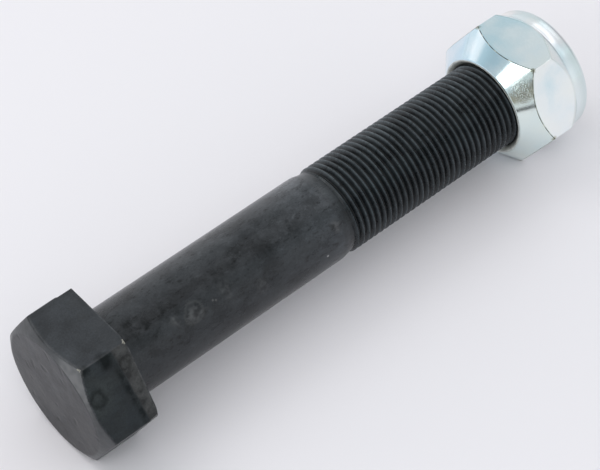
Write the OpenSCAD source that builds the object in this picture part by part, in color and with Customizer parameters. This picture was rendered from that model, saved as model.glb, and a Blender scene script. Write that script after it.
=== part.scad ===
// Hex bolt with a conical-seat locknut run onto its tip, lying on the head's flat and the nut's corner.
// The bolt's axis is +X, from the head's bearing face at the origin to the tip. +Z is up.
// Millimetres.

/* [Bolt] */
// Diameter of the plain shank, and of the thread over its crests
shank_d = 19.8; // [16:0.1:24]
// Length from the head's bearing face to the tip
bolt_length = 115; // [95:1:150]
// Length of the plain shank, from the bearing face to the thread's neck
grip_length = 54.6; // [20:0.2:70]
// Radius of the fillet between the shank and the bearing face
fillet_r = 0.8; // [0.3:0.1:1.5]

/* [Head] */
// How far the flats of the head stand out past the shank
head_step = 5.025; // [4:0.025:8]
// Height of the head
head_height = 12.4; // [8:0.1:16]
// How far the chamfer at the head's end reaches in from the flats
head_chamfer = 0.9; // [0.2:0.1:3]
// Slope of that chamfer from the head's flat end, in degrees
head_chamfer_angle = 30; // [15:1:45]

/* [Thread] */
// Pitch of the thread
pitch = 1.5; // [1:0.25:2.5]
// Length of the tapered neck between the shank and the thread
neck_length = 2.4; // [0.6:0.1:4]
// Length over which the thread grows to its full height
runout_length = 1.5; // [1:0.1:5]
// How far the 45 degree chamfer at the tip reaches in from the thread's roots
tip_chamfer = 0.3; // [0.1:0.1:1.5]

/* [Locknut] */
// How much narrower than the head the nut is, across the flats
nut_narrower = 0.69; // [0:0.01:1.5]
// Height of the nut from its narrow end to the end of its collar
nut_height = 18.7; // [17:0.1:26]
// Angle by which the nut is turned on from lying flat
nut_turned = 2.5; // [-30:0.5:30]
// Depth of the 45 degree countersink at the nut's mouth
mouth_depth = 1.02; // [0.5:0.01:1.5]
// Width of the rim around the mouth, at the narrow end of the conical seat
seat_rim = 0.5; // [0.2:0.1:1]
// Angle of the conical seat to the axis, in degrees
seat_angle = 45; // [40:1:60]
// Height of the hexagon's sloped shoulder below the collar
shoulder_height = 3.6; // [1.5:0.1:4]
// Height of the round collar past the shoulder
collar_height = 4.5; // [3.5:0.1:5.5]
// How far the side of the collar lies inside the flats
collar_inset = 0.1; // [0.05:0.05:0.6]
// Wall of the collar around the nylon ring
collar_wall = 1.5; // [1.2:0.1:2]
// Radius of the rolled edge of the collar
collar_edge_r = 2.2; // [1:0.1:3]
// Thickness of the lip that is rolled over the nylon ring
lip_height = 1.1; // [0.8:0.1:1.6]
// How far the lip covers the end of the nylon ring
lip_cover = 1.4; // [0.6:0.1:1.8]

/* [Nylon ring] */
// Height of the ring
insert_height = 4; // [2.5:0.1:5]
// Gap between the ring and the bolt's tip
insert_from_tip = 0.75; // [0.3:0.05:3]

/* [Fits] */
// Radial room between the thread's crests and what runs along them
thread_room = 0.08; // [0.04:0.01:0.1]
// Room between the nylon ring and its seat in the collar
insert_room = 0.05; // [0.02:0.01:0.1]

/* [Hidden] */

$fn = 96;
// How far a cut or a joined end runs past the face it meets
past = 1;

black_steel = [0.25, 0.25, 0.26];
zinc = [0.80, 0.84, 0.87];
nylon = [0.90, 0.90, 0.86];

// Thread form with 60 degree flanks: depth of the blank it is rolled on and of its roots, and its flats
crest_r = shank_d / 2;
blank_depth = 0.3248 * pitch;
root_depth = 0.6134 * pitch;
blank_r = crest_r - blank_depth;
root_r = crest_r - root_depth;
crest_flat = pitch / 8;
root_flat = pitch / 4;
flank = (pitch - crest_flat - root_flat) / 2;
thread_from = grip_length + neck_length;
turns = ceil((bolt_length - thread_from) / pitch);
tip_r = root_r - tip_chamfer;

head_af = shank_d + 2 * head_step;
head_corner_r = head_af / sqrt(3);
head_end_r = head_af / 2 - head_chamfer;
head_chamfer_drop = (head_corner_r - head_end_r) * tan(head_chamfer_angle);

bore_r = crest_r + thread_room;
mouth_r = bore_r + mouth_depth;
seat_end_r = mouth_r + seat_rim;
nut_af = head_af - nut_narrower;
nut_corner_r = nut_af / sqrt(3);
seat_height = (nut_corner_r - seat_end_r) / tan(seat_angle);
shoulder_to = nut_height - collar_height;
shoulder_from = shoulder_to - shoulder_height;
collar_r = nut_af / 2 - collar_inset;
edge_from = nut_height - collar_edge_r;
pocket_r = collar_r - collar_wall;
pocket_to = nut_height - lip_height;
pocket_from = pocket_to - insert_height - 2 * insert_room;
lip_r = pocket_r - lip_cover;
insert_from = pocket_from + insert_room;
nut_at = bolt_length + insert_from_tip - insert_from;

// How far the thread has grown at a distance from its start, from 0 to 1
function grown(along) = min(1, max(0, along / runout_length));
function crest_at(along) = blank_r + grown(along) * (crest_r - blank_r);
function root_at(along) = blank_r - grown(along) * (blank_r - root_r);

// One turn of the thread as a ring, in radius and height: its root, a flank and its crest
function ring(along) = [
    [root_at(along), thread_from + along],
    [root_at(along), thread_from + along + root_flat],
    [crest_at(along + pitch / 2), thread_from + along + root_flat + flank],
    [crest_at(along + pitch / 2), thread_from + along + root_flat + flank + crest_flat]
];

// Lays what was made along +Z along the bolt's axis
module along_bolt(at = 0) {
    translate([at, 0, 0])
        rotate([0, 90, 0])
            children();
}

// Six-sided bar with two of its flats level once it lies along the bolt
module hex_bar(across_flats, from, to) {
    translate([0, 0, from])
        rotate([0, 0, 30])
            cylinder(h = to - from, r = across_flats / sqrt(3), $fn = 6);
}

// Head: a six-sided bar with its corners cut back to a cone at the end
module bolt_head() {
    intersection() {
        hex_bar(head_af, -head_height, 0);
        rotate_extrude()
            polygon([
                [0, -head_height],
                [head_end_r, -head_height],
                [head_corner_r, head_chamfer_drop - head_height],
                [head_corner_r + past, head_chamfer_drop - head_height],
                [head_corner_r + past, past],
                [0, past]
            ]);
    }
}

// Half outline of the shank, its neck, and the thread drawn as rings that run past the tip
module stem_outline() {
    polygon(concat(
        [[0, -past], [crest_r, -past], [crest_r, grip_length], [blank_r, thread_from]],
        [for (turn = [0 : turns]) each ring(turn * pitch)],
        [[0, thread_from + turns * pitch + root_flat + flank + crest_flat]]
    ));
}

// Half outline of the room that the tip and its chamfer leave
module tip_outline() {
    polygon([
        [0, -past],
        [crest_r + past, -past],
        [crest_r + past, bolt_length - (crest_r + past - tip_r)],
        [tip_r, bolt_length],
        [0, bolt_length]
    ]);
}

// Fillet that carries the shank into the bearing face
module under_head_fillet() {
    difference() {
        translate([0, -past])
            square([crest_r + fillet_r, fillet_r + past]);
        translate([crest_r + fillet_r, fillet_r])
            circle(fillet_r);
    }
}

module hex_bolt() {
    color(black_steel)
        along_bolt()
            union() {
                bolt_head();
                rotate_extrude()
                    under_head_fillet();
                rotate_extrude()
                    intersection() {
                        stem_outline();
                        tip_outline();
                    }
            }
}

// Half outline of the nut: conical seat, reach of the hexagon's corners, shoulder and collar
module nut_outline() {
    polygon([
        [0, 0],
        [seat_end_r, 0],
        [nut_corner_r, seat_height],
        [nut_corner_r, shoulder_from],
        [collar_r, shoulder_to],
        [collar_r, edge_from],
        [collar_r - collar_edge_r, edge_from],
        [collar_r - collar_edge_r, nut_height],
        [0, nut_height]
    ]);
    translate([collar_r - collar_edge_r, edge_from])
        circle(collar_edge_r);
}

// Half outline of the room in the nut: countersunk mouth, bore, the ring's pocket and the lip's hole
module nut_room() {
    polygon([
        [0, -past],
        [mouth_r + past, -past],
        [bore_r, mouth_depth],
        [bore_r, pocket_from],
        [pocket_r, pocket_from],
        [pocket_r, pocket_to],
        [lip_r, pocket_to],
        [lip_r, nut_height + past],
        [0, nut_height + past]
    ]);
}

module locknut() {
    color(zinc)
        rotate([nut_turned, 0, 0])
            along_bolt(nut_at)
                difference() {
                    intersection() {
                        hex_bar(nut_af, 0, nut_height);
                        rotate_extrude()
                            nut_outline();
                    }
                    rotate_extrude()
                        nut_room();
                }
}

module nylon_insert() {
    color(nylon)
        along_bolt(nut_at)
            rotate_extrude()
                translate([bore_r, insert_from])
                    square([pocket_r - insert_room - bore_r, insert_height]);
}

hex_bolt();
locknut();
nylon_insert();
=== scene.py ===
import math
import bpy
import numpy as np
from mathutils import Matrix, Quaternion, Vector, noise


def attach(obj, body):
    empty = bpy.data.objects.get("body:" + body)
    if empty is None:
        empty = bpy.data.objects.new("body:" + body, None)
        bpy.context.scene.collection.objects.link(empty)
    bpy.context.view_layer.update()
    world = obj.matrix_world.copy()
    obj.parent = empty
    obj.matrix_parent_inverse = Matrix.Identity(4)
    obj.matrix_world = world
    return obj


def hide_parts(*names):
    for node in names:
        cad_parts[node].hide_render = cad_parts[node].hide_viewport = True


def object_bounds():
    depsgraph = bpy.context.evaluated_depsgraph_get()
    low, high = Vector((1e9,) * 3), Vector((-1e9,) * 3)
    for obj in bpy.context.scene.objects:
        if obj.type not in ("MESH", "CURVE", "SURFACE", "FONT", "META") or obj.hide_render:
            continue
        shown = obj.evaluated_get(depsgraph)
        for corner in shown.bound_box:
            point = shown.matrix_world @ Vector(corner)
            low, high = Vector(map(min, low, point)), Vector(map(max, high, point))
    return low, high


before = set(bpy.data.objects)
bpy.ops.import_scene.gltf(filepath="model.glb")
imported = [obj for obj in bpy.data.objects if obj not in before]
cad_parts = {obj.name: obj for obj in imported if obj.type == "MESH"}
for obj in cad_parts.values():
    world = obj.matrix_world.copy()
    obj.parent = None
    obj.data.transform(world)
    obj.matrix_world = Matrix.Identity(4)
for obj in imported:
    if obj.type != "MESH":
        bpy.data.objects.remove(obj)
cad_low, cad_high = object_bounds()

# The bolt: one piece of alloy steel with its head forged hot and trimmed and its fine thread rolled on after.
# It is phosphated black and oiled, so it is matte charcoal with dried oil marks, and the corners and
# knocked places show lighter steel.
head_height = 0.0124
head_flats = 0.02985
head_corner_r = head_flats / math.sqrt(3)
head_end_r = 0.014025
head_chamfer_angle = math.radians(30)
head_edge_r = 0.0004
skin_grain = 0.00026
forge_waves = 0.00004
forge_grain = 0.000012
end_waves = 0.00003
end_dent_depth = 0.00006
trim_width = 0.0031
trim_tilt = 0.0894
trim_level = 0.0082
trim_waver = 0.00022
trim_step = 0.0003
trim_depth = 0.00020
trim_roughness = 0.00006
ledge_behind = 0.0005
ledge_width = 0.0008
knock_depth = 0.0003
blunt_reach = 0.0018

crest_r = 0.0099
root_r = 0.00898
blank_r = 0.0094128
pitch = 0.0015
grip_end = 0.0546
thread_start = 0.0570
crest_runout = 0.0010
root_runout = 0.0005
bolt_end = 0.115
tip_r = 0.00868
fillet_r = 0.0008
neck_round = 0.0006
round_steps = 96
tiny = 1e-6
cut_gap = 1e-7


def only(piece):
    """Makes one piece the selected and active one."""
    if bpy.context.mode != "OBJECT":
        bpy.ops.object.mode_set(mode="OBJECT")
    bpy.ops.object.select_all(action="DESELECT")
    bpy.context.view_layer.objects.active = piece
    piece.select_set(True)


def finish_step(piece, kind, **settings):
    """Adds a modifier with these settings to the piece and applies it."""
    only(piece)
    step = piece.modifiers.new(kind.lower(), kind)
    for name, value in settings.items():
        setattr(step, name, value)
    bpy.ops.object.modifier_apply(modifier=step.name)


def machine(piece, tool, operation):
    """Cuts the piece with a tool body, or keeps only what both share, and takes the tool away."""
    finish_step(piece, "BOOLEAN", operation=operation, object=tool, solver="EXACT")
    bpy.data.objects.remove(tool)


def draw_profile(name, points):
    """A half outline: one vertex extruded from point to point, each (place along the bolt, radius)."""
    bpy.ops.object.select_all(action="DESELECT")
    bpy.ops.mesh.primitive_plane_add(size=0.001)
    line = bpy.context.object
    line.name = name
    bpy.ops.object.mode_set(mode="EDIT")
    bpy.ops.mesh.merge(type="CENTER")
    bpy.ops.transform.translate(value=(points[0][0], points[0][1], 0))
    for (x0, r0), (x1, r1) in zip(points, points[1:]):
        bpy.ops.mesh.extrude_vertices_move(TRANSFORM_OT_translate={"value": (x1 - x0, r1 - r0, 0)})
    bpy.ops.object.mode_set(mode="OBJECT")
    return line


def turn(line, steps):
    """Spins a half outline about the bolt's axis into a turned body."""
    only(line)
    bpy.ops.object.mode_set(mode="EDIT")
    bpy.ops.mesh.select_all(action="SELECT")
    bpy.ops.mesh.spin(steps=steps, angle=math.tau, center=(0, 0, 0), axis=(1, 0, 0))
    bpy.ops.mesh.select_all(action="SELECT")
    bpy.ops.mesh.remove_doubles(threshold=tiny)
    bpy.ops.mesh.normals_make_consistent(inside=False)
    bpy.ops.object.mode_set(mode="OBJECT")
    return line


def arc(centre, radius, start, end, steps):
    """Points of a round corner in a half outline, from one angle to another."""
    angles = np.linspace(math.radians(start), math.radians(end), steps)
    return [(centre[0] + radius * math.cos(a), centre[1] + radius * math.sin(a)) for a in angles]


def points_of(piece, kind="co"):
    """The piece's vertices, or their normals, as rows of x, y and z."""
    rows = np.empty(len(piece.data.vertices) * 3)
    piece.data.vertices.foreach_get(kind, rows)
    return rows.reshape(-1, 3)


def put_points(piece, rows):
    """Moves the piece's vertices to these places."""
    piece.data.vertices.foreach_set("co", rows.ravel())
    piece.data.update()


def ease(value, start, end):
    """Runs smoothly from 0 to 1 as the value goes from start to end."""
    share = np.clip((value - start) / (end - start), 0, 1)
    return share * share * (3 - 2 * share)


def lumps(rows, size, seed):
    """Smooth noise from about -1 to 1 with lumps of this size, in metres."""
    shift = Vector((seed * 3.1, seed * 1.7, seed * 2.3))
    return np.array([noise.noise(Vector(row) / size + shift) for row in rows])


def near_places(rows, places):
    """For each row, 1 at the nearest of the places, falling to 0 at that place's reach."""
    falls = [ease(np.linalg.norm(rows - np.array(place), axis=1), reach, 0) for place, reach in places]
    return np.max(falls, axis=0)


# A hexagon bar is cut to the head's height, and its end is turned to a 30 degree cone.
bpy.ops.object.select_all(action="DESELECT")
bpy.ops.mesh.primitive_cylinder_add(
    vertices=6, radius=head_corner_r, depth=head_height,
    location=(-head_height / 2, 0, 0), rotation=(0, math.pi / 2, 0))
bolt = bpy.context.object
bolt.name = "bolt"
bpy.ops.object.transform_apply(location=True, rotation=True, scale=True)
cone_height = 0.02
bpy.ops.mesh.primitive_cone_add(
    vertices=192, radius1=head_end_r, radius2=head_end_r + cone_height / math.tan(head_chamfer_angle),
    depth=cone_height, location=(cone_height / 2 - head_height, 0, 0), rotation=(0, math.pi / 2, 0))
end_cone = bpy.context.object
bpy.ops.object.transform_apply(location=True, rotation=True, scale=True)
machine(bolt, end_cone, "INTERSECT")
finish_step(bolt, "BEVEL", width=head_edge_r, segments=3, limit_method="ANGLE", angle_limit=math.radians(20))
finish_step(bolt, "REMESH", mode="VOXEL", voxel_size=skin_grain)
finish_step(bolt, "SMOOTH", factor=0.5, iterations=8)

# Forging leaves the faces a little uneven, apart from the bearing face.
# Trimming leaves a rough band along the bearing edge of every flat but the upper one, set back behind
# a ledge.
rows, normals = points_of(bolt), points_of(bolt, "normal")
on_side = ease(np.abs(normals[:, 0]), 0.6, 0.3)
on_end = ease(-normals[:, 0], 0.95, 0.99)
off_bearing = ease(rows[:, 0], -0.0002, -0.0006)
end_dents = ease(lumps(rows, 0.0021, 8), 0.40, 0.65)
swell = forge_waves * lumps(rows, 0.006, 2) + forge_grain * lumps(rows, 0.0011, 3)
swell += on_end * (end_waves * lumps(rows, 0.0038, 6) - end_dent_depth * end_dents)
trimmed_side = on_side * (1 - 0.9 * ease(normals[:, 2], 0.80, 0.95))
trim_edge = -trim_width - trim_tilt * (rows[:, 2] - trim_level)
trim_edge += trim_waver * lumps(rows * (0.1, 1, 1), 0.003, 1)
in_band = ease(rows[:, 0] - trim_edge, 0, trim_step) * trimmed_side
# This strip behind the ledge carries its painted shade.
ledge_shade = np.exp(-((rows[:, 0] - trim_edge + ledge_behind) / ledge_width) ** 2) * trimmed_side
swell -= in_band * (trim_depth + trim_roughness * lumps(rows, 0.0008, 4))

# A few corners and edges are knocked bare. The bearing face's corners are blunt, apart from the upper two.
knocks = [((0.0, -0.0085, 0.0148), 0.0019), ((-0.0109, -0.0081, 0.0146), 0.0011),
          ((-0.0003, 0.0165, -0.0012), 0.0012), ((-0.0118, 0.0084, -0.0146), 0.0011)]
blunt_corners = [((0.0, head_corner_r * math.cos(a), head_corner_r * math.sin(a)), blunt_reach)
                 for a in np.radians([0, 180, 240, 300])]
bare = near_places(rows, knocks)
blunt = near_places(rows, blunt_corners)
moved = swell * np.maximum(off_bearing, on_side) - knock_depth * (bare + blunt)
put_points(bolt, rows + normals * moved[:, None])

# How worn each place is: the edges, where the skin turns away from every flat face, and the scuffed chamfer.
# The flats hold oil and are painted darker, as painted shade, apart from the upper one.
bolt_axis = np.array((1, 0, 0))
flats = [np.array((0, math.cos(a), math.sin(a))) for a in np.radians([30, 90, 150, 210, 270, 330])]
radial = rows * (0, 1, 1) / np.maximum(np.linalg.norm(rows[:, 1:], axis=1), tiny)[:, None]
chamfer_slope = radial * math.sin(head_chamfer_angle) - bolt_axis * math.cos(head_chamfer_angle)
with_chamfer = (normals * chamfer_slope).sum(1)
flatness = np.max([normals @ face for face in [bolt_axis, -bolt_axis, *flats]] + [with_chamfer], axis=0)
edge = ease(1 - flatness, 0.004, 0.054) * ease(rows[:, 2], -0.0148, -0.0088)
around = np.degrees(np.arctan2(rows[:, 2], rows[:, 1]))
fade_in, fade_out = 14, 26
scuffs = [ease(around, start, start + fade_in) * ease(around, end, end - fade_out)
          for start, end in [(98, 160), (-8, 34), (-100, -62)]]
rubbed = ease(with_chamfer, 0.93, 0.98) * (0.30 + 0.70 * np.max(scuffs, axis=0))
rubbed *= np.clip(0.85 + 0.35 * lumps(rows, 0.0012, 5), 0, 1)
# This mask carries the flats' oil and their painted shade.
oily_shaded_flats = ease(np.max([normals @ flat for flat in flats if flat[2] < 0.9], axis=0), 0.95, 0.99)

# The shank is turned from its fillet to the neck where the thread starts.
foot = arc((fillet_r, crest_r + fillet_r), fillet_r, 180, 270, 8)
plain = [(x, crest_r) for x in np.linspace(fillet_r, grip_end - neck_round, 30)[1:]]
neck = [(grip_end - neck_round / 3, crest_r - 0.00001), (grip_end + neck_round / 3, crest_r - 0.00006),
        (grip_end + neck_round, crest_r - 0.00016), (thread_start - 0.0004, blank_r + 0.00003),
        (thread_start, blank_r)]
in_head = -0.0003
shank_line = [(in_head, 0.0), (in_head, crest_r + fillet_r), *foot, *plain, *neck]
shank = turn(draw_profile("shank", shank_line), round_steps)

# One turn of the thread's outline is screwed along the bolt, and cut off at the neck and at the tip.
# Each of its points is a share of the pitch and a share of the depth below the crest.
thread_depth = crest_r - root_r
turn_outline = [(0.000, 0.88), (0.055, 0.98), (0.125, 1.0), (0.195, 0.98), (0.250, 0.88),
                (0.540, 0.09), (0.580, 0.01), (0.670, 0.01), (0.710, 0.09), (1.000, 0.88)]
root_at, crest_at = 0.125, 0.625
turns = math.ceil((bolt_end - thread_start) / pitch) + 3
first_crest = math.floor(thread_start / pitch - 2) * pitch
thread = draw_profile("thread", [(first_crest + (along - crest_at) * pitch, crest_r - down * thread_depth)
                                 for along, down in turn_outline])
finish_step(thread, "SCREW", axis="X", angle=math.tau, screw_offset=pitch, iterations=turns,
            steps=round_steps, render_steps=round_steps, use_smooth_shade=True)
bpy.ops.object.mode_set(mode="EDIT")
bpy.ops.mesh.select_all(action="SELECT")
bpy.ops.mesh.remove_doubles(threshold=tiny)
bpy.ops.mesh.bisect(plane_co=(thread_start, 0, 0), plane_no=(1, 0, 0), clear_inner=True, threshold=cut_gap)
bpy.ops.mesh.select_all(action="SELECT")
bpy.ops.mesh.bisect(plane_co=(bolt_end, 0, 0), plane_no=(1, 0, 0), clear_outer=True, threshold=cut_gap)
bpy.ops.mesh.select_all(action="SELECT")
bpy.ops.mesh.normals_make_consistent(inside=False)
bpy.ops.object.mode_set(mode="OBJECT")


def put_radius(piece, rows, radius, wanted):
    """Moves the piece's vertices straight out or in, from one radius to another."""
    put_points(piece, rows * np.stack([np.ones(len(rows)), wanted / radius, wanted / radius], axis=1))


# The thread grows out of the neck, and the tip has a small chamfer.
rows = points_of(thread)
radius = np.linalg.norm(rows[:, 1:], axis=1)
crest_grown = ease(rows[:, 0], thread_start, thread_start + crest_runout)
root_grown = ease(rows[:, 0], thread_start, thread_start + root_runout)
wanted = blank_r + (radius - blank_r) * np.where(radius > blank_r, crest_grown, root_grown)
put_radius(thread, rows, radius, np.minimum(wanted, tip_r + bolt_end - rows[:, 0]))


def pick_open_edges(piece, place):
    """Selects the open edges of the piece at a place along the bolt, and stays in edit mode."""
    only(piece)
    bpy.ops.object.mode_set(mode="EDIT")
    bpy.ops.mesh.select_mode(type="EDGE")
    bpy.ops.mesh.select_all(action="DESELECT")
    bpy.ops.object.mode_set(mode="OBJECT")
    at_place = np.abs(points_of(piece)[:, 0] - place) < tiny
    sides = np.zeros(len(piece.data.edges), int)
    for face in piece.data.polygons:
        for key in face.loop_indices:
            sides[piece.data.loops[key].edge_index] += 1
    for link in piece.data.edges:
        first, second = link.vertices
        link.select = bool(sides[link.index] == 1 and at_place[first] and at_place[second])
    bpy.ops.object.mode_set(mode="EDIT")


# The tip is closed with a flat end that rolling has drawn in a little at the middle.
pick_open_edges(thread, bolt_end)
bpy.ops.mesh.edge_face_add()
bpy.ops.mesh.select_mode(type="FACE")
for narrower, sunk in [(0.96, 0.00002), (0.78, 0.00008), (0.66, 0.00018), (0.45, 0.00012)]:
    bpy.ops.mesh.extrude_region_move(TRANSFORM_OT_translate={"value": (-sunk, 0, 0)})
    bpy.ops.transform.resize(value=(1, narrower, narrower), center_override=(bolt_end, 0, 0))
bpy.ops.mesh.select_all(action="SELECT")
bpy.ops.mesh.normals_make_consistent(inside=False)

# Shank, thread and head become one piece, and the neck's two edges are bridged.
head_points = len(bolt.data.vertices)
only(bolt)
shank.select_set(True)
thread.select_set(True)
bpy.ops.object.join()
pick_open_edges(bolt, thread_start)
bpy.ops.mesh.bridge_edge_loops()
bpy.ops.mesh.select_mode(type="VERT")
bpy.ops.object.mode_set(mode="OBJECT")
bpy.ops.object.shade_smooth_by_angle(angle=math.radians(40))
head_amounts = {"worn": edge, "rubbed": rubbed, "bare": bare, "trimmed": in_band, "ledge_shade": ledge_shade,
                "oily_shaded_flats": oily_shaded_flats, "end": on_end}
for name, amount in head_amounts.items():
    over_all = np.zeros(len(bolt.data.vertices), np.float32)
    over_all[:head_points] = amount
    bolt.data.attributes.new(name, "FLOAT", "POINT").data.foreach_set("value", over_all)


def new_finish(name):
    """A new material, and the place on the piece that it colours."""
    made = bpy.data.materials.new(name)
    made.use_nodes = True
    return made, shade(made, "ShaderNodeTexCoord").outputs["Object"]


def feed(material, node, values):
    """Sets inputs of a shader node, each to a number, a colour or another node's output."""
    for socket, value in values.items():
        if isinstance(value, bpy.types.NodeSocket):
            material.node_tree.links.new(value, node.inputs[socket])
        else:
            node.inputs[socket].default_value = value


def coat(material, values):
    """Sets the surface's own sockets."""
    feed(material, material.node_tree.nodes["Principled BSDF"], values)


def shade(material, kind, values=None, **settings):
    """Adds a shader node, with these values on its inputs."""
    made = material.node_tree.nodes.new(kind)
    for name, value in settings.items():
        setattr(made, name, value)
    feed(material, made, values or {})
    return made


def ramp(material, value, stops):
    """A colour ramp: stops are (place, grey or colour)."""
    made = shade(material, "ShaderNodeValToRGB", {"Fac": value})
    bar = made.color_ramp.elements
    while len(bar) < len(stops):
        bar.new(0.5)
    for stop, (place, colour) in zip(bar, stops):
        stop.position = place
        stop.color = (*((colour,) * 3 if isinstance(colour, float) else colour), 1)
    return made.outputs["Color"]


def blend(material, amount, first, second, mode="MIX"):
    """Mixes a second colour into the first by an amount, or multiplies or adds it."""
    made = shade(material, "ShaderNodeMix", {0: amount, 6: first, 7: second},
                 data_type="RGBA", blend_type=mode)
    return made.outputs[2]


def reckon(material, operation, *values):
    """Works out one number from others."""
    return shade(material, "ShaderNodeMath", dict(enumerate(values)), operation=operation).outputs[0]


def reckon_all(material, operation, values):
    """Works through a list of numbers, for the largest or the smallest of them."""
    found = values[0]
    for value in values[1:]:
        found = reckon(material, operation, found, value)
    return found


def span(material, value, start, end):
    """Runs from 0 to 1 as a value goes from start to end."""
    ends = {"Value": value, "From Min": start, "From Max": end}
    return shade(material, "ShaderNodeMapRange", ends).outputs["Result"]


def patches(material, place, scale, detail, rough=0.5):
    """Cloudy noise from 0 to 1."""
    look = {"Vector": place, "Scale": scale, "Detail": detail, "Roughness": rough}
    return shade(material, "ShaderNodeTexNoise", look).outputs["Fac"]


def streaks(material, place, scales, detail, rough=0.5):
    """Cloudy noise that is drawn out, with a scale for each axis."""
    stretched = shade(material, "ShaderNodeMapping", {"Vector": place, "Scale": scales}).outputs["Vector"]
    return patches(material, stretched, 1.0, detail, rough)


def parts_of(material, place):
    """The X, Y and Z of a place."""
    return shade(material, "ShaderNodeSeparateXYZ", {"Vector": place}).outputs


def place_from(material, operation, *places):
    """Works out one place from others."""
    made = shade(material, "ShaderNodeVectorMath", dict(enumerate(places)), operation=operation)
    return made.outputs["Vector"]


def measure(material, operation, *places):
    """Works out one number from places, such as how far they lie apart."""
    made = shade(material, "ShaderNodeVectorMath", dict(enumerate(places)), operation=operation)
    return made.outputs["Value"]


def gap_to_axis(material, place):
    """How far a place lies from the bolt's axis."""
    return measure(material, "LENGTH", place_from(material, "MULTIPLY", place, (0, 1, 1)))


def bumps(material, height, strength, under=None):
    """Fine relief from a height, over another relief where one is given."""
    look = {"Height": height, "Strength": strength, "Distance": 0.0001}
    if under is not None:
        look["Normal"] = under
    return shade(material, "ShaderNodeBump", look).outputs["Normal"]


# Black phosphate: charcoal that varies in clouds, with smears along the bolt and a fine grain.
black, here = new_finish("black_phosphate")
clouds = patches(black, here, 150.0, 5.0, 0.6)
grain = patches(black, here, 2600.0, 3.0)
blots = patches(black, here, 460.0, 5.0, 0.66)
smears = streaks(black, here, (150.0, 260.0, 260.0), 6.0, 0.62)
skin = ramp(black, clouds, [(0.30, (0.0200, 0.0216, 0.0240)), (0.50, (0.0262, 0.0283, 0.0312)),
                            (0.70, (0.0335, 0.0360, 0.0392))])
skin = blend(black, 0.85, skin, ramp(black, smears, [(0.38, 0.68), (0.52, 1.0), (0.68, 1.20)]), "MULTIPLY")
skin = blend(black, 0.4, skin, ramp(black, grain, [(0.3, 0.5), (0.7, 1.5)]), "MULTIPLY")

# The shank is painted darker on its front, as painted shade, and paler on its back, as a painted sheen.
# It is finely nicked along its length, and paler towards its end, while the neck is painted a little darker
# again, as painted shade over its sheen.
at = parts_of(black, here)
on_shank = span(black, at["X"], 0.0, fillet_r)
# Painted shade on the front and a painted sheen on the back, by side.
front_shade_back_sheen = ramp(black, span(black, at["Y"], -crest_r, crest_r), [
    (0.0, (0.68, 0.72, 0.74)), (0.15, (0.82, 0.87, 0.89)), (0.28, 1.10), (0.45, 1.15), (0.60, 1.38),
    (0.85, 1.75)])
skin = blend(black, on_shank, skin, front_shade_back_sheen, "MULTIPLY")
nicks = streaks(black, here, (620.0, 1300.0, 1300.0), 3.0, 0.6)
nicked = ramp(black, nicks, [(0.28, 1.45), (0.42, 1.0), (0.58, 1.0), (0.68, 0.40)])
skin = blend(black, on_shank, skin, nicked, "MULTIPLY")
paler_from, paler_to, shank_end_from = 0.030, 0.050, 0.040
skin = blend(black, span(black, at["X"], paler_from, paler_to), skin, (1.36, 1.36, 1.36, 1), "MULTIPLY")
# The dip at the neck is painted shade.
end_paler_neck_shade = ramp(black, span(black, at["X"], shank_end_from, thread_start + neck_round), [
    (0.30, 1.0), (0.60, 1.42), (0.78, 1.45), (0.85, 0.80), (0.94, 0.80), (0.98, 1.0)])
skin = blend(black, 1.0, skin, end_paler_neck_shade, "MULTIPLY")

# The thread's roots are painted dark, as painted shade along with their oil, and its crests paler, as a
# painted highlight.
root_to_crest = span(black, gap_to_axis(black, here), root_r, crest_r)
root_shade_crest_highlight = ramp(black, root_to_crest, [(0.0, (0.09, 0.11, 0.115)), (0.6, (0.41, 0.48, 0.50)),
                                     (0.95, (1.24, 1.42, 1.44))])
skin = blend(black, span(black, at["X"], grip_end, thread_start), skin, root_shade_crest_highlight, "MULTIPLY")


def amount_of(name):
    """One of the amounts that were worked out over the head's skin."""
    return shade(black, "ShaderNodeAttribute", attribute_name=name).outputs["Fac"]


# The flats of the head, apart from the upper one, are painted darker, as painted shade over their oil, and
# the trimmed band is a paler grey.
# The end is uneven, and darker towards its lower edge.
oiled_shade = ramp(black, clouds, [(0.38, (0.48, 0.62, 0.65)), (0.62, (0.70, 0.80, 0.73))])
skin = blend(black, amount_of("oily_shaded_flats"), skin, oiled_shade, "MULTIPLY")
on_head = span(black, at["X"], fillet_r, 0.0)
skin = blend(black, on_head, skin, (0.97, 1.01, 1.06, 1), "MULTIPLY")
up_head = span(black, at["Z"], -head_flats / 2, head_flats / 2)
end_tint = ramp(black, up_head, [(0.10, (0.60, 0.575, 0.575)), (0.85, (0.88, 0.845, 0.845))])
skin = blend(black, amount_of("end"), skin, end_tint, "MULTIPLY")
trimmed = ramp(black, blots, [(0.36, (0.014, 0.0150, 0.0155)), (0.60, (0.052, 0.0540, 0.0535))])
skin = blend(black, amount_of("trimmed"), skin, trimmed)
uneven = ramp(black, blots, [(0.38, 0.60), (0.52, 1.0), (0.68, 1.35)])
skin = blend(black, amount_of("end"), skin, uneven, "MULTIPLY")

# Dried oil: broken dark smudges along the shank and on the head. Each is a place, a reach and a strength.
wobble_size = 0.0022
wobble = shade(black, "ShaderNodeTexNoise", {"Vector": here, "Scale": 480.0, "Detail": 4.0}).outputs["Color"]
near_here = place_from(black, "MULTIPLY_ADD", wobble, (wobble_size,) * 3, here)


def share_of(place, reach):
    """How far a point lies from a place, wobbled, as a share of the reach."""
    wobbled_place = tuple(part + wobble_size / 2 for part in place)
    return span(black, measure(black, "DISTANCE", near_here, wobbled_place), 0.0, reach)


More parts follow.
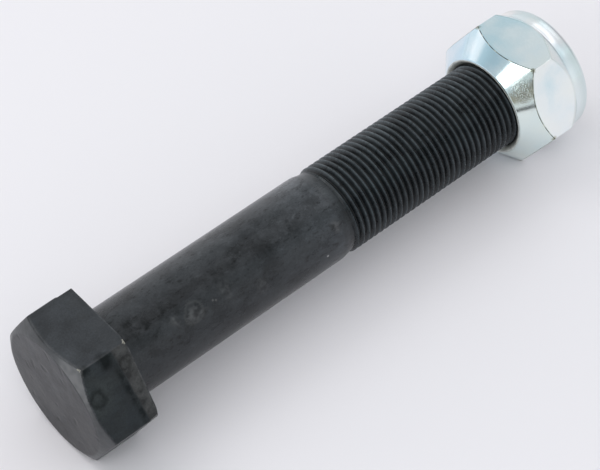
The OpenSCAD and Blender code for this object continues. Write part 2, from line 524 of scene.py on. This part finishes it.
smudged = ramp(black, blots, [(0.41, 0.0), (0.60, 1.0)])
smudges = [((0.0050, -0.0030, 0.0094), 0.0040, 0.60), ((0.0080, -0.0048, 0.0087), 0.0038, 0.55),
           ((0.0125, -0.0040, 0.0091), 0.0034, 0.5), ((0.0250, -0.0038, 0.0091), 0.0040, 0.35),
           ((0.0310, -0.0032, 0.0094), 0.0046, 0.42), ((0.0370, -0.0040, 0.0091), 0.0044, 0.42),
           ((0.0440, -0.0034, 0.0093), 0.0044, 0.45), ((0.0520, -0.0028, 0.0095), 0.0026, 0.35),
           ((0.0150, 0.0090, 0.0040), 0.0060, 0.6), ((0.0360, 0.0090, -0.0040), 0.0065, 0.6),
           ((0.0200, -0.0040, -0.0090), 0.0060, 0.6), ((0.0450, 0.0030, -0.0094), 0.0060, 0.6),
           ((-0.0040, 0.0130, 0.0074), 0.0055, 0.6)]
soaked = []
for place, reach, strength in smudges:
    smudge = ramp(black, share_of(place, reach), [(0.25, strength), (1.0, 0.0)])
    soaked.append(blend(black, 1.0, smudge, smudged, "MULTIPLY"))

# Drops dried to dark rings on the head, and two dark blotches lie beside its upper corner.
# The ledge is painted dark along its step, as painted shade.
stains = [((-0.01005, -0.01215, 0.00880), 0.0023, 0.4), ((-0.0021, -0.0106, 0.0115), 0.0017, 0.4),
          ((-0.0060, 0.0132, 0.0070), 0.0020, 0.6), ((-0.0045, 0.0040, -0.0149), 0.0022, 0.6)]
for place, reach, strength in stains:
    soaked.append(ramp(black, share_of(place, reach), [
        (0.0, 0.05), (0.34, 0.12), (0.58, strength), (0.70, strength), (1.0, 0.0)]))
for place, reach in [((-0.0055, -0.0091, 0.0141), 0.0022), ((-0.0104, -0.0089, 0.0144), 0.0017)]:
    soaked.append(ramp(black, share_of(place, reach), [(0.35, 0.6), (1.0, 0.0)]))
soaked.append(blend(black, 1.0, ramp(black, amount_of("ledge_shade"), [(0.10, 0.0), (0.9, 0.5)]),
                    ramp(black, blots, [(0.40, 0.3), (0.56, 1.0)]), "MULTIPLY"))
oil = reckon_all(black, "MAXIMUM", soaked)
skin = blend(black, oil, skin, (0.0046, 0.0054, 0.0046, 1))

# Drops on the shank dried to mottled pale splashes, one of them with a pale ring round it.
# Each is a place, a reach and a strength. A few specks are bare: each a place and its grey.
mottled = ramp(black, patches(black, here, 760.0, 1.0), [
    (0.36, (0.010, 0.011, 0.011)), (0.46, (0.026, 0.027, 0.029)), (0.64, (0.080, 0.083, 0.085))])
splashes = [((0.0171, -0.00675, 0.00722), 0.0023, 0.9), ((0.0192, -0.0075, 0.0064), 0.0012, 0.8),
            ((0.01285, -0.00649, 0.00746), 0.0015, 0.8), ((0.05302, -0.00812, 0.00567), 0.0016, 0.75),
            ((0.0255, -0.0066, 0.0074), 0.0022, 0.6), ((0.0330, -0.0090, 0.0041), 0.0020, 0.5),
            ((0.0310, 0.0061, 0.0078), 0.0024, 0.8), ((0.0240, 0.0094, -0.0031), 0.0027, 0.8),
            ((0.0420, -0.0052, -0.0084), 0.0025, 0.8), ((0.0090, 0.0060, -0.0079), 0.0020, 0.8)]
for place, reach, strength in splashes:
    splash = ramp(black, share_of(place, reach), [(0.30, strength), (1.0, 0.0)])
    skin = blend(black, splash, skin, mottled)
drop_ring = ramp(black, share_of((0.0172, -0.0068, 0.0071), 0.0030), [
    (0.54, 0.0), (0.66, 0.5), (0.74, 0.5), (0.86, 0.0)])
skin = blend(black, drop_ring, skin, (0.050, 0.052, 0.053, 1))
specks = [((0.02190, -0.00694, 0.00704), 0.075), ((0.02251, -0.00718, 0.00681), 0.065),
          ((0.04928, -0.00984, 0.00106), 0.30)]
speck_r, speck_middle_r = 0.00032, 0.00012
for place, grey in specks:
    speck = span(black, measure(black, "DISTANCE", here, place), speck_r, speck_middle_r)
    skin = blend(black, speck, skin, (grey, grey, grey, 1))

# The edges are rubbed, the chamfer is pale, and the knocked corners are bare.
worn = reckon(black, "MULTIPLY", amount_of("worn"), ramp(black, smears, [(0.46, 0.0), (0.68, 0.55)]))
skin = blend(black, worn, skin, (0.11, 0.112, 0.115, 1))
skin = blend(black, amount_of("rubbed"), skin, (0.145, 0.147, 0.150, 1))
chipped = reckon(black, "MULTIPLY", amount_of("bare"), patches(black, here, 1700.0, 2.0))
skin = blend(black, ramp(black, chipped, [(0.30, 0.0), (0.42, 1.0)]), skin, (0.30, 0.29, 0.25, 1))

# The shank has a low sheen, the head is duller, and oil gives a thin shine of its own.
dull = ramp(black, smears, [(0.35, 0.24), (0.65, 0.34)])
dull = blend(black, on_head, dull, ramp(black, clouds, [(0.35, 0.35), (0.65, 0.43)]))
patchy = reckon(black, "MULTIPLY", on_shank, ramp(black, smears, [(0.40, 0.14), (0.60, 0.0)]))
film = reckon(black, "MAXIMUM", reckon(black, "MULTIPLY_ADD", amount_of("oily_shaded_flats"), 0.22, oil), patchy)
coat(black, {"Base Color": skin, "Roughness": dull, "Metallic": film, "Normal": bumps(black, grain, 0.2),
             "IOR": 1.38})

bolt.data.materials.clear()
bolt.data.materials.append(black)
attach(bolt, "bolt")
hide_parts("hex_bolt")

# The locknut: a steel hexagon with a conical seat towards the head, and a round collar rolled over the ring.
# It is turned from bar, tapped to the bolt's thread and plated with bright bluish zinc.
nut_start = 0.1022
nut_height = 0.0187
nut_flats = 0.02916
nut_corner_r = nut_flats / math.sqrt(3)
nut_turned = math.radians(2.5)
nut_edge_r = 0.00018
nut_steps = 144
blank_nut_r = 0.0175
bar_spare = 0.002
rim_mid_r = 0.01125
rim_round = 0.0006036
mouth_r = 0.0110
bore_r = 0.00998
ridge_crest_r = 0.0092
ridge_foot_r = 0.01003
ridge_crest_half = 0.00025
ridge_foot_half = 0.00066
ridge_spare = 0.0016
seat_end_r = 0.0115
seat_height = nut_corner_r - seat_end_r
shoulder_from = 0.0106
shoulder_to = 0.0142
collar_r = 0.01448
shoulder_slope = (nut_corner_r - collar_r) / (shoulder_to - shoulder_from)
collar_edge_r = 0.0022
crown = 36.0
crown_length = 0.0022
pocket_r = 0.01298
pocket_from = 0.0135
pocket_to = 0.0176
lip_r = 0.01158

# Bright zinc: a pale bluish metal, nearly a mirror, with cloudy tints and the fine rings of turning.
zinc, here = new_finish("bright_zinc")
at = parts_of(zinc, here)
plating = patches(zinc, here, 130.0, 3.0)
spangle = patches(zinc, here, 3000.0, 3.0)
ring_marks = streaks(zinc, here, (3000.0, 90.0, 90.0), 3.0)
to_back = span(zinc, at["Y"], -0.008, 0.014)
# The plating is painted bluer and a little darker over the upper flat and the back than at the front, as
# painted reflection colour.
painted_reflection_blue = ramp(zinc, to_back, [(0.0, 0.0), (0.55, 0.17), (0.75, 0.15), (1.0, 0.05)])
tone = reckon(zinc, "SUBTRACT", reckon(zinc, "MULTIPLY_ADD", plating, 0.50, 0.29), painted_reflection_blue)
tint = ramp(zinc, tone, [(0.36, (0.67, 0.82, 0.875)), (0.50, (0.88, 0.925, 0.935)),
                         (0.64, (0.93, 0.945, 0.92))])

# The seat is painted bluer and a little darker, greyer at its front, as painted reflection colour, and the
# shoulder is painted a little darker, as painted shade.
# On the collar it is painted whiter where its highlight lies and bluer at the front, as painted reflection
# colour, and it is more satin; towards the rolled edge it is painted darker, as painted shade.
from_axis = gap_to_axis(zinc, here)
past_seat = reckon(zinc, "SUBTRACT", at["X"], from_axis)
seat_at = nut_start - seat_end_r
off_seat = span(zinc, past_seat, seat_at + 0.0001, seat_at + 0.0004)
on_seat = reckon(zinc, "SUBTRACT", 1.0, off_seat)
seat_reflection_tint = ramp(zinc, to_back, [(0.0, (0.85, 0.92, 0.90)), (0.30, (0.88, 0.955, 1.0)),
                                 (1.0, (0.86, 0.94, 1.0))])
tint = blend(zinc, on_seat, tint, seat_reflection_tint, "MULTIPLY")
collar_from = nut_start + shoulder_to
on_collar = span(zinc, at["X"], collar_from - 0.0006, collar_from)
collar_reflection_tint = ramp(zinc, to_back, [(0.0, (0.88, 0.93, 0.94)), (0.08, (0.99, 0.93, 0.94)),
                                   (0.20, (0.99, 0.91, 0.92)), (0.45, (1.12, 0.99, 0.94)),
                                   (1.0, (1.04, 1.0, 0.97))])
tint = blend(zinc, on_collar, tint, collar_reflection_tint, "MULTIPLY")
roll_edge_shade = span(zinc, at["X"], collar_from + 0.0008, collar_from + 0.0023)
tint = blend(zinc, roll_edge_shade, tint, (0.88, 0.90, 0.89, 1), "MULTIPLY")
# The shoulder's darkening is painted shade.
down_shoulder = reckon(zinc, "MULTIPLY_ADD", at["X"], shoulder_slope, from_axis)
shoulder_at = nut_corner_r + shoulder_slope * (nut_start + shoulder_from)
shoulder_shade = reckon(zinc, "MULTIPLY", span(zinc, down_shoulder, shoulder_at - 0.0003, shoulder_at - 0.0001),
                     reckon(zinc, "SUBTRACT", 1.0, on_collar))
tint = blend(zinc, shoulder_shade, tint, (0.86, 0.87, 0.85, 1), "MULTIPLY")

# It is burnt where the seat cuts the hexagon's corners.
corner_gaps = []
for corner_angle in np.radians([0, 60, 120, 180, 240, 300]) + nut_turned:
    out = nut_corner_r - 0.0003
    corner = (nut_start + seat_height, out * math.cos(corner_angle), out * math.sin(corner_angle))
    corner_gaps.append(measure(zinc, "DISTANCE", here, corner))
near_corner = span(zinc, reckon_all(zinc, "MINIMUM", corner_gaps), 0.0012, 0.0002)
burnt_here = ramp(zinc, reckon(zinc, "MULTIPLY", near_corner, spangle), [(0.24, 0.0), (0.44, 0.75)])
tint = blend(zinc, burnt_here, tint, (0.26, 0.25, 0.14, 1))

# The seat is finely pitted in one place, where the plating is dark in its pits.
pits_middle, pits_r, dense_pits_r = (0.1044, -0.0092, 0.0100), 0.0029, 0.0012
near_pits = span(zinc, measure(zinc, "DISTANCE", here, pits_middle), pits_r, dense_pits_r)
pitted = reckon(zinc, "MULTIPLY", near_pits, on_seat)
pores = shade(zinc, "ShaderNodeTexVoronoi", {"Vector": here, "Scale": 4200.0}).outputs["Distance"]
pits = reckon(zinc, "MULTIPLY", pitted, ramp(zinc, pores, [(0.30, 0.90), (0.55, 0.0)]))
tint = blend(zinc, pits, tint, (0.15, 0.13, 0.08, 1))
polish = ramp(zinc, spangle, [(0.3, 0.08), (0.7, 0.16)])
polish = blend(zinc, on_collar, polish, (0.24, 0.24, 0.24, 1))
grit = reckon(zinc, "MULTIPLY_ADD", pitted, 0.60, 0.05)
relief = bumps(zinc, spangle, grit, under=bumps(zinc, ring_marks, 0.05))
coat(zinc, {"Base Color": tint, "Roughness": polish, "Normal": relief, "Metallic": 1.0})

# Along the cut edges the plating is burnt dark olive in dashes. In the tapped hole it is dull, painted dark
# down in the bore as painted shade, and pale at the countersink.
burnt, here = new_finish("zinc_edge")
dashes = ramp(burnt, patches(burnt, here, 900.0, 4.0), [
    (0.40, (0.030, 0.030, 0.020)), (0.53, (0.11, 0.11, 0.075)), (0.62, (0.60, 0.61, 0.52))])
coat(burnt, {"Base Color": dashes, "Metallic": 1.0, "Roughness": 0.35})

tapped, here = new_finish("zinc_tapped")
# Dark in the bore and pale at the countersink: painted shade.
to_rim = span(tapped, gap_to_axis(tapped, here), bore_r, rim_mid_r)
hole_shade = ramp(tapped, to_rim, [(0.0, (0.10, 0.105, 0.11)), (0.25, (0.40, 0.41, 0.38)),
                             (0.6, (0.70, 0.72, 0.67)), (1.0, (0.80, 0.83, 0.80))])
cloudy = ramp(tapped, patches(tapped, here, 600.0, 3.0), [(0.35, 0.6), (0.65, 1.2)])
coat(tapped, {"Base Color": blend(tapped, 0.5, hole_shade, cloudy, "MULTIPLY"), "Roughness": 0.42,
              "Metallic": ramp(tapped, to_rim, [(0.0, 0.8), (0.5, 0.2)])})

# A hexagon bar, turned on a little as the nut is, is the start.
bpy.ops.object.select_all(action="DESELECT")
bpy.ops.mesh.primitive_cylinder_add(
    vertices=6, radius=nut_corner_r, depth=nut_height + bar_spare,
    location=(nut_start + nut_height / 2, 0, 0), rotation=(0, math.pi / 2, 0))
nut = bpy.context.object
nut.name = "nut"
bpy.ops.object.transform_apply(location=True, rotation=True, scale=True)
nut.rotation_euler.x = nut_turned
bpy.ops.object.transform_apply(location=True, rotation=True, scale=True)
for finish in (zinc, burnt, tapped):
    nut.data.materials.append(finish)

# The bar is turned outside, to the rounded rim, seat cone, shoulder and slightly crowned collar with its
# rolled edge, and bored inside for the lip, the ring's pocket, the thread and the countersunk mouth.
tangent = rim_round * math.sqrt(0.5)
roll_angle = 80
roll_middle = (nut_height - collar_edge_r,
               collar_r - crown * crown_length ** 2 - collar_edge_r * math.sin(math.radians(roll_angle)))
outside = [*arc((rim_round, rim_mid_r), rim_round, 180, 135, 6),
           (blank_nut_r - rim_mid_r - tangent + (rim_round - tangent), blank_nut_r),
           (shoulder_to - (blank_nut_r - collar_r) / shoulder_slope, blank_nut_r),
           *[(shoulder_to + x, collar_r - crown * x ** 2) for x in np.linspace(0, crown_length, 9)],
           *arc(roll_middle, collar_edge_r, roll_angle, 0, 14)[1:]]
inside = [(nut_height, lip_r), (pocket_to, lip_r), (pocket_to, pocket_r), (pocket_from, pocket_r),
          (pocket_from, bore_r), (mouth_r - bore_r, bore_r),
          *arc((rim_round, rim_mid_r), rim_round, 225, 180, 6)]
nut_line = [(nut_start + x, r) for x, r in [*outside, *inside]]
machine(nut, turn(draw_profile("nut_turned", nut_line), nut_steps), "INTERSECT")
finish_step(nut, "BEVEL", width=nut_edge_r, segments=2, limit_method="ANGLE", angle_limit=math.radians(18),
            material=1)
bpy.ops.object.shade_smooth_by_angle(angle=math.radians(35))
finish_step(nut, "WEIGHTED_NORMAL", weight=80, keep_sharp=True)

# The tapped thread is one ridge screwed through the bore, in the bolt's grooves.
# It fades into the countersink.
groove = first_crest + (root_at - crest_at) * pitch
groove += math.ceil((nut_start - groove) / pitch) * pitch
ridge_outline = [(-ridge_foot_half, ridge_foot_r), (-ridge_crest_half, ridge_crest_r),
                 (ridge_crest_half, ridge_crest_r), (ridge_foot_half, ridge_foot_r)]
ridge = draw_profile("ridge", [(groove + x, r) for x, r in [*ridge_outline, ridge_outline[0]]])
finish_step(ridge, "SCREW", axis="X", angle=math.tau, screw_offset=pitch,
            iterations=math.floor((pocket_from - ridge_spare) / pitch),
            steps=round_steps, render_steps=round_steps, use_smooth_shade=True)
bpy.ops.object.mode_set(mode="EDIT")
bpy.ops.mesh.select_all(action="SELECT")
bpy.ops.mesh.remove_doubles(threshold=tiny)
bpy.ops.mesh.fill_holes(sides=0)
bpy.ops.mesh.select_all(action="SELECT")
bpy.ops.mesh.normals_make_consistent(inside=False)
bpy.ops.object.mode_set(mode="OBJECT")
rows = points_of(ridge)
radius = np.linalg.norm(rows[:, 1:], axis=1)
countersink = mouth_r + 0.00002 - (rows[:, 0] - nut_start)
put_radius(ridge, rows, radius, np.maximum(radius, np.minimum(countersink, ridge_foot_r)))
bpy.ops.object.shade_smooth_by_angle(angle=math.radians(35))
only(nut)
ridge.select_set(True)
bpy.ops.object.join()

# Only the edges of the seat are burnt, and all that lies within the mouth is the tapped hole.
plated_slot, burnt_slot, tapped_slot = 0, 1, 2
for face in nut.data.polygons:
    place = face.center
    off_axis = math.hypot(place.y, place.z)
    past_flats = place.x > nut_start + shoulder_from - 0.001
    if place.x < nut_start + pocket_from and off_axis < rim_mid_r + 0.0001:
        face.material_index = tapped_slot
    elif face.material_index == burnt_slot and (past_flats or abs(face.normal.x) < 0.02):
        face.material_index = plated_slot
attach(nut, "nut")
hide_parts("locknut")

# The locking ring: a plain ring of natural nylon, cut from tube and held under the collar's rolled lip.
# Its edges are slightly rounded; its bore is plain, without the groove that the bolt's thread presses into
# it.
ring_from = 0.11575
ring_to = 0.11975
ring_inside_r = 0.00998
ring_outside_r = 0.01293
ring_edge_r = 0.0003
ring_line = [*arc((ring_from + ring_edge_r, ring_inside_r + ring_edge_r), ring_edge_r, 180, 270, 5),
             *arc((ring_to - ring_edge_r, ring_inside_r + ring_edge_r), ring_edge_r, 270, 360, 5),
             *arc((ring_to - ring_edge_r, ring_outside_r - ring_edge_r), ring_edge_r, 0, 90, 5),
             *arc((ring_from + ring_edge_r, ring_outside_r - ring_edge_r), ring_edge_r, 90, 180, 5)]
ring = turn(draw_profile("locking_ring", [*ring_line, ring_line[0]]), round_steps)
bpy.ops.object.shade_smooth_by_angle(angle=math.radians(40))

# Natural nylon: milky and slightly see-through, with fine tool marks.
natural, here = new_finish("natural_nylon")
milky = ramp(natural, patches(natural, here, 260.0, 3.0), [
    (0.3, (0.74, 0.74, 0.68)), (0.7, (0.84, 0.84, 0.80))])
tooling = bumps(natural, patches(natural, here, 1800.0, 2.0), 0.15)
coat(natural, {"Base Color": milky, "Normal": tooling, "Roughness": 0.42, "Subsurface Weight": 0.15,
               "Subsurface Radius": (0.001, 0.001, 0.0008)})

ring.data.materials.clear()
ring.data.materials.append(natural)
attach(ring, "insert")
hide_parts("nylon_insert")

# The floor: a wide sheet of pale matte paper that the bolt lies on.
# Its colour is painted greyer around the bolt and paler far off, as painted shade and painted light.
bpy.ops.object.select_all(action="DESELECT")
bpy.ops.mesh.primitive_plane_add(size=6, location=(0.05, 0, cad_low.z - 0.00002))
floor = bpy.context.object
floor.name = "floor"
paper, here = new_finish("pale_paper")
outward = span(paper, measure(paper, "LENGTH", here), 0.25, 0.5)
painted_floor_falloff = ramp(paper, outward, [(0.0, (0.850, 0.824, 0.850)), (1.0, (0.965, 0.955, 0.965))])
coat(paper, {"Base Color": painted_floor_falloff, "Roughness": 0.9})
floor.data.materials.append(paper)

# The light: a pale room with bright walls and a dimmer bluish ceiling, darker past the nut.
# It has a faint warm glow low behind the head, and a slightly dimmer patch high in front of the nut.
world = bpy.data.worlds.new("studio")
bpy.context.scene.world = world
world.use_nodes = True
toward = shade(world, "ShaderNodeTexCoord").outputs["Generated"]


def facing(direction):
    """How far a place in the room lies towards a direction."""
    return measure(world, "DOT_PRODUCT", toward, direction)


room = ramp(world, facing((-0.25, 0, 1)), [
    (0.0, (0.95, 0.95, 0.97)), (0.30, (0.93, 0.935, 0.955)), (0.45, (0.81, 0.835, 0.86)),
    (0.60, (0.63, 0.695, 0.72)), (0.72, (0.53, 0.58, 0.605)), (0.84, (0.66, 0.68, 0.70)),
    (1.0, (1.08, 1.08, 1.09))])
dimmer = ramp(world, facing((1, 0, 0)), [(0.50, 1.0), (0.80, (0.86, 0.91, 0.93)), (0.97, (0.46, 0.50, 0.52))])
glow = ramp(world, facing((-0.50, 0.825, 0.26)), [(0.980, 0.0), (0.996, (0.45, 0.28, 0.22))])
dim_patch = ramp(world, facing((0.613, -0.567, 0.551)), [(0.94, 1.0), (0.985, (0.90, 0.91, 0.91))])
room = blend(world, 1.0, room, dimmer, "MULTIPLY")
room = blend(world, 1.0, room, glow, "ADD")
room = blend(world, 1.0, room, dim_patch, "MULTIPLY")
feed(world, world.node_tree.nodes["Background"], {"Color": room, "Strength": 1.0})


def soft_box(name, place, aim, width, height, watts, roll=0):
    """A rectangular soft light at a place, facing a point and rolled by an angle."""
    lamp = bpy.data.lights.new(name, "AREA")
    lamp.shape = "RECTANGLE"
    lamp.size, lamp.size_y, lamp.energy = width, height, watts
    box = bpy.data.objects.new(name, lamp)
    bpy.context.scene.collection.objects.link(box)
    box.location = place
    turned_to = (Vector(aim) - Vector(place)).to_track_quat("-Z", "Y")
    box.rotation_euler = (turned_to @ Quaternion((0, 0, 1), math.radians(roll))).to_euler()
    box.visible_camera = False


# Two soft boxes stand behind the bolt, one in front and one past the head, and two long tubes past the nut.
soft_box("back_box", (-0.15, 0.42, 0.85), (0.05, 0, 0), 0.5, 0.5, 0.55)
soft_box("near_box", (-0.06, 0.36, 0.46), (0.05, 0, 0), 0.25, 0.25, 0.40)
soft_box("front_box", (-0.15, -0.45, 0.70), (0.05, 0, 0), 0.4, 0.4, 0.6)
soft_box("head_box", (-0.525, -0.066, 0.41), (0.10, 0, 0), 0.25, 0.20, 0.34)
soft_box("tube", (0.630, 0.149, 0.577), (0.108, 0, 0.01), 0.58, 0.11, 0.225, roll=-23)
soft_box("side_tube", (0.526, -0.204, 0.489), (0.11, 0, 0.01), 0.36, 0.075, 0.050, roll=56)

# A striped matte card stands upright on the floor, in front of the head's side, for the nut to mirror.
# Only mirrors see it: it casts no shadow and isn't in the picture.
bpy.ops.object.select_all(action="DESELECT")
bpy.ops.mesh.primitive_plane_add(size=1, rotation=(math.pi / 2, 0, math.radians(-60)))
card = bpy.context.object
card.name = "card"
card_width, card_height = 0.14, 0.15
card.scale = (card_width, card_height, 1)
card.location = (-0.117, -0.178, card_height / 2 + cad_low.z)
card.visible_camera = card.visible_diffuse = card.visible_shadow = False
grey_card, here = new_finish("grey_card")
up_card = reckon(grey_card, "ADD", parts_of(grey_card, here)["Y"], 0.5)
stripes = ramp(grey_card, up_card, [
    (0.0, 0.05), (0.12, 0.05), (0.17, 0.85), (0.36, 0.85), (0.43, (0.42, 0.38, 0.30)),
    (0.80, (0.36, 0.33, 0.27)), (0.97, (0.32, 0.34, 0.36))])
coat(grey_card, {"Base Color": stripes, "Roughness": 0.9})
card.data.materials.append(grey_card)

# The camera stands where the photograph, 600 by 470, was taken.
# Its lens and its place were fitted to the hexagon's corners and the bolt's edges.
camera_data = bpy.data.cameras.new("camera")
camera_data.sensor_fit = "HORIZONTAL"
camera_data.sensor_width = 36.0
camera_data.lens = 124.214
camera_data.clip_start, camera_data.clip_end = 0.01, 20
camera = bpy.data.objects.new("camera", camera_data)
bpy.context.scene.collection.objects.link(camera)
right = Vector((0.75537261, -0.65492037, -0.02217068))
up = Vector((0.51109729, 0.56764085, 0.64541724))
back = Vector((-0.41011192, -0.49886188, 0.76350838))
stand = Matrix((right, up, back)).transposed().to_4x4()
stand.translation = (-0.12456, -0.21261, 0.32364)
camera.matrix_world = stand
bpy.context.scene.camera = camera
bpy.context.scene.view_settings.view_transform = "Standard"
